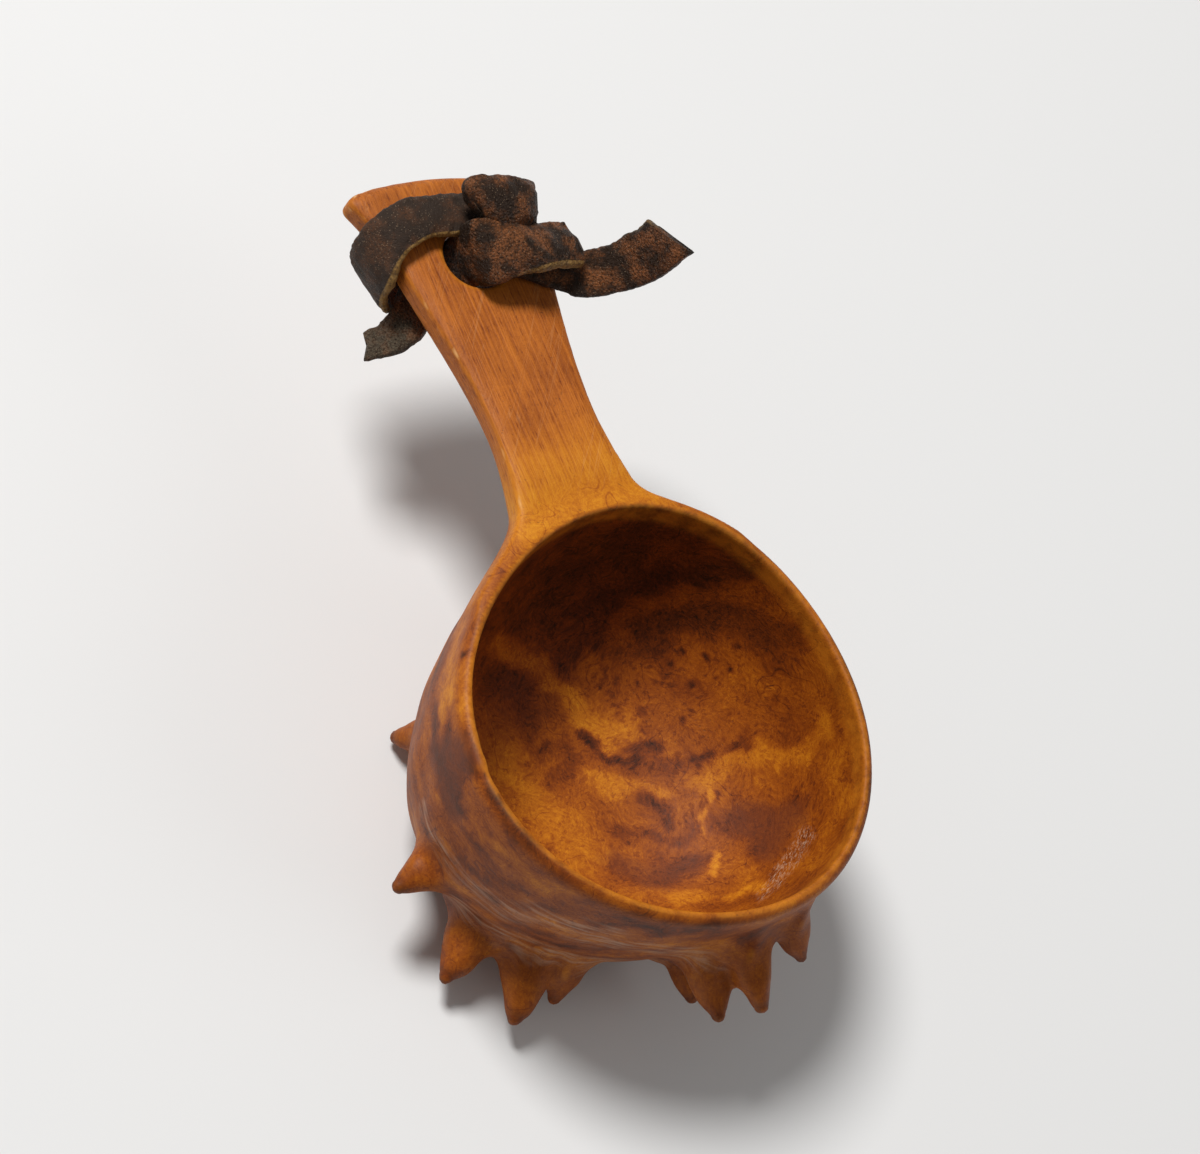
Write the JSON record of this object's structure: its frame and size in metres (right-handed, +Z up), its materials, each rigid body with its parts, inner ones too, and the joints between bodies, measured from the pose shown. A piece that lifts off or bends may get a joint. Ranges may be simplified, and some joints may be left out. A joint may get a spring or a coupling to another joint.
{
  "type": "kuksa wooden cup",
  "caption": "Kuksa drinking cup carved from one burl, with a flat handle, a thorny underside and a knotted leather thong through the handle's eye.",
  "frame": {"origin": "on the flat foot the cup stands on, straight below the centre of the mouth", "axes": "+Z up out of the mouth, the handle points along -X, +Y to the right of the handle seen from the bowl"},
  "size_m": [0.1703, 0.0914, 0.0692],
  "materials": {
    "burl_wood": "hand-carved burl, oiled and rubbed smooth, amber to red-brown with dark figure",
    "dark_leather": "worn dark brown grain leather with rubbed red-brown patches and fuzzy ochre cut edges"
  },
  "bodies": {
    "cup": {"carved_cup": "burl_wood"},
    "thong": {"leather_thong": "dark_leather"}
  },
  "joints": [
    {"name": "thong_swing", "type": "hinge", "parent": "cup", "child": "thong", "pos_m": [-0.0965, -0.0113, 0.0486], "axis": [1, 0, 0], "range_deg": [0, 35]}
  ]
}
